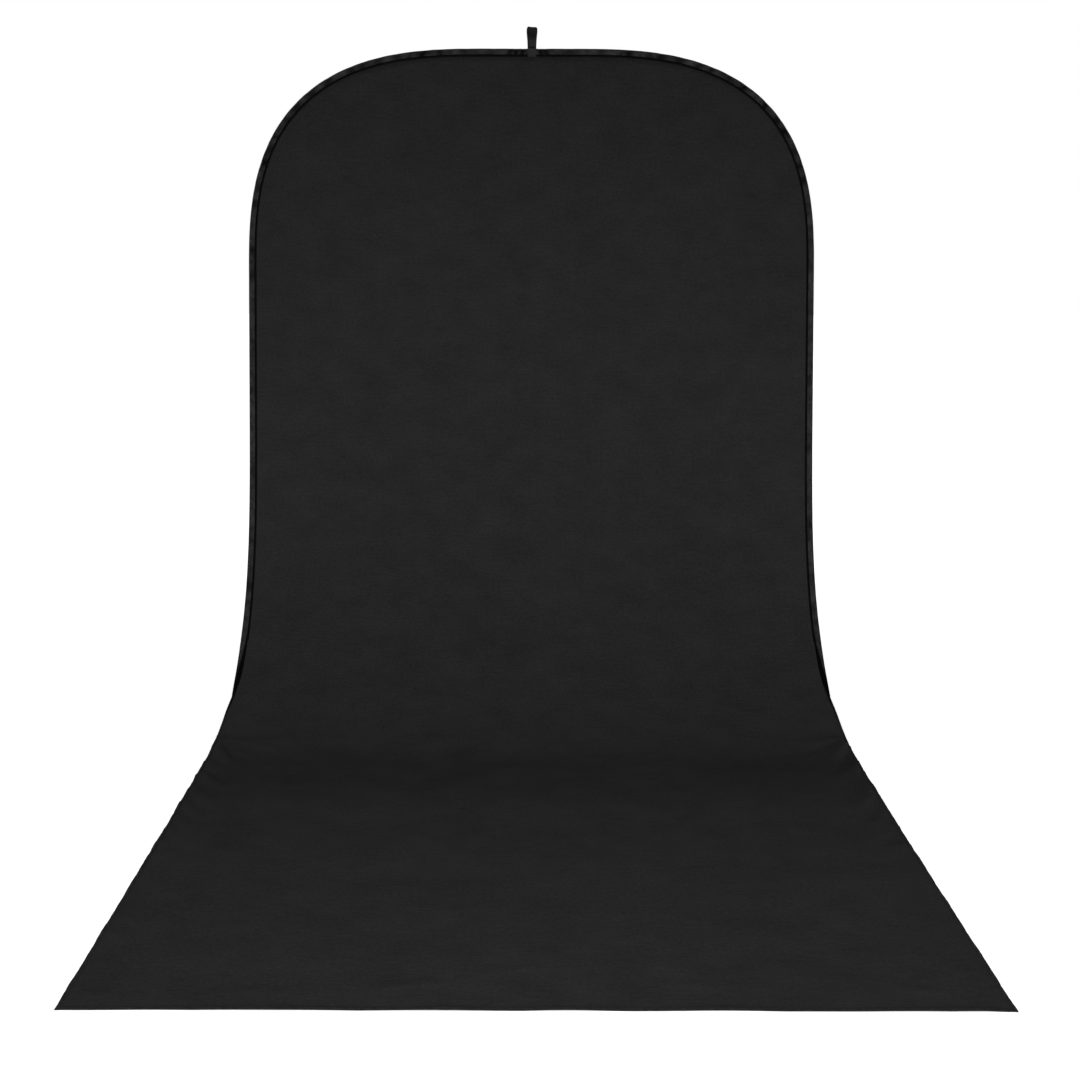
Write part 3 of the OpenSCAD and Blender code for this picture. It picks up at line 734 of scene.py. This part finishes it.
def casingRing(run):
    at = hoopAt(run)
    k = tucked(at[:, 1:2])
    # The band fills the casing where it twists, so there is no slack to pinch there
    deep = pinchAt(run[:, None], casingR[None]) * (1 - smoothStep(at[:, 1:2], 2.38, 2.52))
    body = casingFace(casingR[None], k)
    crest = 1 + 0.05 * np.sin(run[:, None] * 61) * (1 - k)
    hold = lerp(0.30, 1.0, smoothStep(casingR[None], 0.0, 0.007))  # the band keeps the outer edge stretched
    body = body * crest * (1 - 0.62 * deep * hold)
    # Where the band lies flat it reaches further in, and the step down to the seam with it
    lip = smoothStep(casingR[None] - 0.0050 * smoothStep(k, 0.2, 0.8), 0.0225, 0.0248)
    swell = np.exp(-((at[:, 1:2] - 2.745) / 0.06) ** 2) * smoothStep(casingR[None], 0.012, 0.020)
    body = body + casing["swell"] * swell
    outer = lerp(body, lipN, lip)
    nose = 0.0004 * deep[:, :1] * (1 - smoothStep(casingR[None], 0.0, 0.012))
    back = casingFace(casingR[None], k) * (1 - 0.35 * deep * hold)
    outerBack = lerp(back, lipN, lip)
    r = casingR[None] + nose
    front, rear = inCasing(at, r, outer), inCasing(at, r, -outerBack)
    innerR = np.maximum(r, casing["wall"] + nose)
    lipIn = lerp(0.00050, 0.00015, k)
    innerFront = np.maximum(lerp(outer - casing["wall"] * 1.05, lipIn, lip), lipIn)
    innerRear = np.maximum(lerp(outerBack - casing["wall"] * 1.05, lipIn, lip), lipIn)
    inFront, inRear = inCasing(at, innerR, innerFront), inCasing(at, innerR, -innerRear)
    # Front lip to the nose, round to the back lip, then back inside
    rings = np.concatenate([front[:, ::-1], rear, inRear[:, ::-1], inFront], axis=1)
    # Painted shade in the pinches, as deep as they are
    dark = deep / 0.62
    pinchShading = np.concatenate([dark[:, ::-1], dark, dark, dark], axis=1)
    # Painted near-black shadow from the seam's groove to the cloth, reaching the outer edge where the casing
    # turns under the cloth
    seamShadowFrom = casing["seamShadowFrom"] * (1 - smoothStep(at[:, 1:2], 2.52, 2.84))
    soft = lerp(0.0060, 0.0012, seamShadowFrom / casing["seamShadowFrom"])
    seamShadowMask = np.clip((casingR[None] - seamShadowFrom) / soft + 1, 0, 1)
    seamShadowMask = np.concatenate([seamShadowMask[:, ::-1], 0 * seamShadowMask, seamShadowMask, seamShadowMask], axis=1)
    return rings, pinchShading, seamShadowMask


def edgeCasing():
    run = casingRun()
    rings, pinchShading, seamShadowMask = casingRing(run)
    outer = np.concatenate([casingR[-1] - casingR[::-1], casingR[-1] + casingR + 0.012])
    girth = np.concatenate([outer, outer[::-1], outer[:1]])
    return makeTube("edgeCasing", rings, casingMaterial, run, girth, acrossLadder(rings.shape[1]),
                    {"pinchShadeMask": pinchShading, "seamShadow": seamShadowMask})


casingPiece = edgeCasing()
print("edge casing made")


lap = {
    "halfLength": 0.0875,
    "halfWidth": 0.0168,
    "halfHeight": 0.0033,
    "mouthHeight": 0.0030,
    "squareness": 0.55,
}


# Lap over the casing's ends, round the splice: a soft flat tube that is puckered at its mouths.
# Its section is a superellipse, cosine and sine raised to a power.
def casingLap():
    x = np.linspace(-lap["halfLength"], lap["halfLength"], 45)
    angle = np.linspace(0, math.tau, 33)[:-1]
    fade = smoothStep(np.abs(x), 0.055, lap["halfLength"])[:, None]
    ripple = 1 + 0.03 * np.sin(7 * angle[None] + 40 * x[:, None]) * fade
    high = lerp(lap["halfHeight"], lap["mouthHeight"], fade) * ripple
    power = lap["squareness"]
    across = lap["halfWidth"] * ripple * np.sign(np.cos(angle)) * np.abs(np.cos(angle)) ** power
    up = high * np.sign(np.sin(angle)) * np.abs(np.sin(angle)) ** power
    mid = onCloth(np.array(0.0), np.array(hoop["length"] - casing["width"] / 2), np.array(-hoop["tuckDepth"]))
    rings = np.stack([x[:, None] + 0 * across, mid[1] + across, np.maximum(mid[2] + up, 0.0)], axis=-1)
    inner = mid + (rings - mid) * [1, 0.955, 0.80]
    # One closed wall: out along the outside and back along the inside
    quads = gridFaces(len(x), len(angle), True)
    size = rings.size // 3
    a = np.arange(len(angle))
    b = np.roll(a, -1)
    last = size - len(angle)
    ends = np.concatenate([np.stack([a, b, b + size, a + size], axis=-1),
                           np.stack([last + b, last + a, last + a + size, last + b + size], axis=-1)])
    faces = np.concatenate([quads, quads[:, ::-1] + size, ends])
    points = np.concatenate([rings.reshape(-1, 3), inner.reshape(-1, 3)])
    if signedVolume(points, faces) < 0:
        faces = faces[:, ::-1]
    flat = np.stack(np.broadcast_arrays(x[:, None], angle[None] * 0.012), axis=-1)
    flat = np.tile(flat.reshape(-1, 2), (2, 1))
    none = np.zeros(len(points))
    return makePiece("casingLap", points, faces, flat[faces].reshape(-1, 8), casingMaterial,
                     {"pinchShadeMask": none, "seamShadow": none})


lapPiece = casingLap()

# A hem's cross-section as shares of its width and thickness, from the inner edge over the top
hemTop = np.array([[0.0, 0.55], [0.03, 0.92], [0.12, 1.0], [0.30, 0.97], [0.45, 0.90], [0.70, 0.98],
                   [0.88, 0.93], [0.97, 0.70], [1.0, 0.38]])
hemUnder = np.array([[0.99, 0.12], [0.90, 0.0], [0.70, 0.0], [0.45, 0.0], [0.30, 0.0], [0.15, 0.0],
                     [0.06, 0.0], [0.0, 0.06], [-0.01, 0.30]])
hemRing = np.concatenate([hemTop, hemUnder])
hemEdge = np.vstack([hemRing, hemRing[:1]]) * [hem["width"], hem["thick"]]
hemGirth = runningSum(np.hypot(*np.diff(hemEdge, axis=0).T))


def hemPucker(run, side):
    wave = np.sin(run * 172 + 1.3 * side + 2.2 * np.sin(run * 31)) + 0.6 * np.sin(run * 263 + side)
    return hem["pucker"] * wave / 1.6


# How far the front hem rises in low waves between the places where it lies flat
def frontRipple(x):
    return 0.0009 * (1 + np.sin(13 * x + 2.2 * np.sin(3.1 * x)))


def sideHem(side, name):
    s = np.concatenate([np.arange(hem["start"] + 0.01, 3.2, 0.008), np.arange(3.2, sweep["length"], 0.0065),
                        [sweep["length"]]])
    width = 0.0006 + hem["width"] * smoothStep(s, hem["start"] + 0.01, hem["start"] + 0.18)
    inner = halfWidth(s, side) + 0.0002
    x = inner[:, None] + width[:, None] * hemRing[None, :, 0]
    x = np.minimum(x, sweep["width"] / 2 + 0.004)
    grow = lerp(0.35, 1.0, smoothStep(s, hem["start"] + 0.01, hem["start"] + 0.10))
    pucker = hemPucker(s, side)[:, None]
    share = hemRing[None, :, 1]
    relief = clothRelief(side * inner, s)[:, None] * 0.45
    n = -sweep["clothThick"] / 2 + (hem["thick"] * grow)[:, None] * share
    wave = 0.0002 * (1 + np.sin(s * 31)) * smoothStep(s, 3.1, 3.4)
    n = n + pucker * (share > 0.5) + np.maximum(relief, -0.0002) + wave[:, None]
    rings = onCloth(side * x, np.repeat(s[:, None], len(hemRing), axis=1), n)
    rings[..., 2] = np.maximum(rings[..., 2], 0.0)
    # The painted near-black shadow of the seam tapers out along the hem's outer edge
    taper = lerp(-0.3, 1.25, smoothStep(s, 2.84, 3.10))[:, None]
    seamShadowMask = np.clip((hemRing[None, :, 0] - taper) / 0.25, 0, 1)
    return makeTube(name, rings, hemMaterial, s, hemGirth, acrossLadder(len(hemRing)), {"seamShadow": seamShadowMask})


def frontHem():
    half = sweep["width"] / 2 - hem["width"] - 0.0002
    x = np.linspace(-half, half, 330)
    out = frontY - middleY
    wander = 0.0010 * (np.sin(8.3 * x + 0.6) + 0.5 * np.sin(21 * x)) * smoothStep(half - np.abs(x), 0, 0.1)
    y = out + hem["width"] + 0.0004 - hemRing[None, :, 0] * hem["width"] + np.abs(wander)[:, None]
    share = hemRing[None, :, 1]
    ripple = frontRipple(x) * smoothStep(half - np.abs(x), 0, 0.08)
    z = hem["thick"] * share + hemPucker(x + 7, 0)[:, None] * (share > 0.5) + ripple[:, None]
    rings = np.stack([x[:, None] + 0 * y, y, np.maximum(z, 0)], axis=-1)
    return makeTube("frontHem", rings, hemMaterial, x, hemGirth, acrossLadder(len(hemRing)))


hemLeft, hemRight, hemFront = sideHem(-1, "hemLeft"), sideHem(1, "hemRight"), frontHem()
print("hems made")

stitch = {"pitch": 0.0062, "length": 0.0050, "width": 0.0011, "height": 0.0006}  # 3 mm stitches, drawn longer


# Directions along a row of points
def alongRow(points):
    step = np.gradient(points, axis=0)
    return step / np.linalg.norm(step, axis=1, keepdims=True)


# The direction off the cloth's front at s
def offCloth(s):
    heading = sweepAt(s)[2]
    return np.stack([0 * heading, -np.sin(heading), np.cos(heading)], axis=-1)


def seamStitches():
    run = np.arange(casing["mouth"] + 0.004, outlineRun[-1] - casing["mouth"], stitch["pitch"])
    at = hoopAt(run)
    points = inCasing(at, np.full((len(run), 1), 0.0292), np.full((len(run), 1), lipN + 0.0001))[:, 0]
    return makeStitches("seamStitches", points, alongRow(points), offCloth(at[:, 1]), threadMaterial,
                        stitch["length"], stitch["width"], stitch["height"], 0.0003)


def hemStitches(name, low, high):
    s = np.arange(low, high, stitch["pitch"])
    points, along, up = [], [], []
    for side in (-1, 1):
        x = side * (halfWidth(s, side) + 0.0021)
        relief = np.maximum(clothRelief(side * halfWidth(s, side), s) * 0.45, -0.0002)
        n = hem["thick"] - sweep["clothThick"] / 2 + relief + hemPucker(s, side) * 0.6
        row = onCloth(x, s, n)
        points.append(row)
        along.append(alongRow(row))
        up.append(offCloth(s))
    if high > 4:
        half = sweep["width"] / 2 - hem["width"] - 0.004
        x = np.arange(-half, half, stitch["pitch"])
        y = np.full(len(x), frontY - middleY + hem["width"] - 0.0012)
        row = np.stack([x, y, hem["thick"] + frontRipple(x)], axis=-1)
        points.append(row)
        along.append(alongRow(row))
        up.append(np.tile([0.0, 0.0, 1.0], (len(x), 1)))
    return makeStitches(name, np.concatenate(points), np.concatenate(along), np.concatenate(up),
                        threadMaterial, stitch["length"], stitch["width"], stitch["height"], 0.0003)


seamThread = seamStitches()
hemThread = hemStitches("hemStitches", hem["start"] + 0.10, sweep["length"] - 0.004)
print("stitches made")

topY, topZ = (float(v) for v in sweepAt(np.array(0.0))[:2])
leanBack = np.array([0.0, math.sin(sweep["lean"]), math.cos(sweep["lean"])])  # up along the cloth
outFront = np.array([0.0, -math.cos(sweep["lean"]), math.sin(sweep["lean"])])
topPoint = np.array([0.0, topY, topZ])
neck = topPoint + loop["neckHeight"] * leanBack


# A smooth curve through points, at even steps along it, from their Catmull-Rom spline
def smoothCurve(points, gap):
    ends = np.vstack([2 * points[0] - points[1], points, 2 * points[-1] - points[-2]])
    t = np.linspace(0, 1, 24, endpoint=False)[:, None]
    a, b, c, d = (ends[i:len(ends) - 3 + i, None] for i in range(4))
    curve = 0.5 * (2 * b + (c - a) * t + (2 * a - 5 * b + 4 * c - d) * t ** 2
                   + (3 * b - a - 3 * c + d) * t ** 3)
    curve = np.vstack([curve.reshape(-1, points.shape[1]), points[-1:]])
    run = runningSum(np.linalg.norm(np.diff(curve, axis=0), axis=1))
    even = np.linspace(0, run[-1], int(run[-1] / gap) + 2)
    return np.stack([np.interp(even, run, curve[:, i]) for i in range(points.shape[1])], axis=-1), even


# The webbing's middle line as y and z: up the front of the casing, through the neck, round the
# eye, and down the back
def loopPath():
    tail = np.array([[0.0029, -0.0360], [0.0029, -0.0322], [0.0034, -0.0280], [0.0062, -0.0215],
                     [0.0091, -0.0120], [0.0113, -0.0030], [0.0098, 0.0016], [0.0045, 0.0046],
                     [0.0017, 0.0072], [0.00088, 0.0098]])
    front = topPoint[1:] + tail[:, :1] * outFront[1:] + tail[:, 1:] * leanBack[1:]
    back = topPoint[1:] - tail[:, :1] * outFront[1:] + tail[:, 1:] * leanBack[1:]
    radius = loop["eyeRadius"] + loop["thick"] / 2
    height = loop["eyeHeight"] - loop["eyeRadius"] - loop["thick"]
    rise = np.array([[0.00092, 0.003], [0.0016, 0.010], [0.0040, 0.022], [0.0080, 0.037], [0.0118, 0.052]])
    angle = np.radians(np.linspace(-8, 90, 9))
    arch = np.stack([radius * np.cos(angle), height + radius * np.sin(angle)], axis=-1)
    side = np.concatenate([rise, arch])
    up = neck[1:] + side * [-1, 1]
    down = neck[1:] + side[-2::-1]
    return smoothCurve(np.concatenate([front, up, down, back[::-1]]), 0.0016)


def hangLoop():
    path, run = loopPath()
    along = alongRow(path)
    off = np.stack([-along[:, 1], along[:, 0]], axis=-1)
    across = np.linspace(-1, 1, 15)
    half = loop["thick"] / 2
    edge = half * np.sqrt(np.clip(1 - np.abs(across) ** 14, 0.12, 1))
    front = np.stack([across, edge], axis=-1)
    ring = np.concatenate([front, (front * [1, -1])[::-1]])
    up = np.clip((path[:, 1] - neck[2]) / loop["eyeHeight"], 0, 1)
    cup = 0.0010 * smoothStep(up, 0.2, 0.7)[:, None] * (ring[None, :, 0] ** 2)
    side = loop["width"] / 2 * ring[None, :, 0] * (1 - 0.03 * np.sin(run * 55))[:, None]
    lift = ring[None, :, 1] + cup
    y = path[:, :1] + off[:, :1] * lift
    z = path[:, 1:] + off[:, 1:] * lift
    # The eye turns about its neck, more towards its top
    turn = loop["turn"] * smoothStep(up, 0.0, 0.9)[:, None]
    dy = y - neck[1]
    rings = np.stack([side * np.cos(turn) - dy * np.sin(turn), neck[1] + side * np.sin(turn)
                      + dy * np.cos(turn), z], axis=-1)
    girth = np.concatenate([across + 1, 2 + across + 1, [4]]) * loop["width"] / 2
    # Painted light at its top and its sewn base, and painted shade between
    loopLightShade = 1.35 - 1.05 * np.exp(-((up - 0.58) / 0.24) ** 2)
    return makeTube("hangLoop", rings, webbingMaterial, run, girth, acrossLadder(len(ring)),
                    {"loopLightShade": np.repeat(loopLightShade, len(ring))})


loopPiece = hangLoop()


# Rows of zigzag stitches across the webbing, off its middle on both faces, from a height up
def loopRows(name, height, off, rows):
    x = np.arange(-0.0160, 0.0161, 0.0020)
    zigzag = 0.5 * (-1.0) ** np.arange(len(x))
    lay = np.array([1.0, 0.0, 0.0]) + leanBack * zigzag[:, None]
    lay = lay / np.linalg.norm(lay, axis=1, keepdims=True)
    points, along, up = [], [], []
    for face in (1, -1):
        for step in range(rows):
            rise = height + 0.0012 * step
            points.append(topPoint + off * outFront * face + rise * leanBack
                          + np.stack([x, 0 * x, 0 * x], axis=-1))
            along.append(lay)
            up.append(np.tile(outFront * face, (len(x), 1)))
    return makeStitches(name, np.concatenate(points), np.concatenate(along), np.concatenate(up),
                        threadMaterial, 0.0024, 0.0008, 0.0005, 0.0002)


tailThread = loopRows("tailStitches", -0.0350, 0.0039, 2)
neckThread = loopRows("neckBartack", 0.0118, 0.0019, 3)
print("hang loop made")

# Finishes of the parts that keep their own mesh
for node, material in (("hoop_band", springMaterial), ("splice_sleeve", sleeveMaterial),
                       ("splice_rivets", rivetMaterial), ("splice_tape", tapeMaterial)):
    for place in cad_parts[node].material_slots:
        place.material = material

# What each piece stands for and rides on
# The bend lies on the train's side of the hinge, so no cloth turns down into the floor behind it
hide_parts("cloth_panel", "train_cloth")
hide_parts("edge_casing")
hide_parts("casing_lap")
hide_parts("casing_seam")
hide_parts("side_hem_left", "train_hem_left")
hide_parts("side_hem_right", "train_hem_right")
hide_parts("front_hem")
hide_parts("side_hem_stitching", "train_hem_stitching")
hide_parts("loop_tails", "hang_loop_eye")
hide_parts("loop_stitching")
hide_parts("neck_bartack")
for piece in (casingPiece, lapPiece, seamThread, tailThread):
    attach(piece, "root")
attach(hemFront, "train")
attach(neckThread, "hang_loop")
for piece in (cloth, hemLeft, hemRight, hemThread):
    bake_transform(piece)
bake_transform(loopPiece)
print("pieces placed")

stage = {
    "floor": "#f6f6f6",
    "glow": 0.42,  # light the pale floor gives back, so that it stays white round a black object
    "farGlow": 1.0,  # the same behind the object, near the lit wall
    "wall": 1.0,  # the lit wall behind the background
    "dim": 0.20,  # the dimmer room in front of it and above
}
# Each soft box: where it stands, what it points at, its width and height, and its power
softBoxes = {
    "lowBox": ((0.0, -4.9, 0.7), (0.0, 0.9, 0.6), (3.0, 0.8), 130.0),
    "downBox": ((0.0, -2.6, 2.8), (0.0, -2.3, 0.0), (3.0, 1.0), 55.0),
    "overBox": ((0.0, -1.4, 3.2), (0.0, -0.8, 0.0), (3.0, 0.8), 19.0),
}
# The place is x, y and z, and tilt is down from level
viewpoint = {
    "place": (-0.0380, -4.3349, 1.8945),
    "tilt": math.radians(13.221),
    "roll": math.radians(0.120),
    "lens": 42.34,
    "shift": 0.0166,
}


def studioFloor():
    material, tree = newMaterial("matteWhiteFloor")
    place = addNode(tree, "TexCoord", out="Object")
    depth = addNode(tree, "SeparateXYZ", [place], out="Y")
    glow = addNode(tree, "MapRange", (depth, -1.5, 3.0, stage["glow"], stage["farGlow"]))
    finishMaterial(material, {
        "Base Color": stage["floor"], "Roughness": 0.9, "Specular IOR Level": 0.1,
        "Emission Color": (1.0, 1.0, 1.0, 1.0), "Emission Strength": glow})
    x, y = np.meshgrid(np.linspace(-30, 30, 31), np.linspace(-30, 30, 31), indexing="ij")
    points = np.stack([x, y, 0 * x - 0.0006], axis=-1)
    faces = gridFaces(31, 31)
    flat = points[..., :2].reshape(-1, 2)
    return makePiece("studioFloor", points, faces, flat[faces].reshape(-1, 8), material)


studioFloor()


def softBox(name, place, aim, size, power):
    lamp = bpy.data.lights.new(name, "AREA")
    lamp.shape = "RECTANGLE"
    lamp.size, lamp.size_y = size
    lamp.energy = power
    box = bpy.data.objects.new(name, lamp)
    box.location = place
    way = np.array(aim) - np.array(place)
    level = math.hypot(way[0], way[1])
    box.rotation_euler = (math.atan2(level, -way[2]), 0, math.atan2(way[1], way[0]) - math.pi / 2)
    bpy.context.scene.collection.objects.link(box)


for name, setting in softBoxes.items():
    softBox(name, *setting)

# A white wall behind, and a dimmer room all round
world = bpy.data.worlds.new("studioAir")
world.use_nodes = True
air = world.node_tree
toward = addNode(air, "SeparateXYZ", [addNode(air, "TexCoord", out="Generated")]).node
behind = addNode(air, "MapRange", (toward.outputs["Y"], 0.35, 0.75))
low = addNode(air, "MapRange", (toward.outputs["Z"], 0.22, 0.42, 1.0, 0.0))
share = addNode(air, "Math", (behind, low), operation="MULTIPLY")
bright = addNode(air, "MapRange", (share, 0.0, 1.0, stage["dim"], stage["wall"]))
air.links.new(bright, air.nodes["Background"].inputs["Strength"])
air.nodes["Background"].inputs["Color"].default_value = (1.0, 1.0, 1.0, 1.0)
bpy.context.scene.world = world
bpy.context.scene.view_settings.view_transform = "Standard"

view = bpy.data.cameras.new("viewCamera")
view.lens = viewpoint["lens"]
view.sensor_width = 36.0
view.shift_x = viewpoint["shift"]
view.clip_end = 200.0
camera = bpy.data.objects.new("viewCamera", view)
camera.location = viewpoint["place"]
pitch = Matrix.Rotation(math.pi / 2 - viewpoint["tilt"], 3, "X")
camera.rotation_euler = (pitch @ Matrix.Rotation(viewpoint["roll"], 3, "Z")).to_euler()
bpy.context.scene.collection.objects.link(camera)
bpy.context.scene.camera = camera
print("stage and camera set")
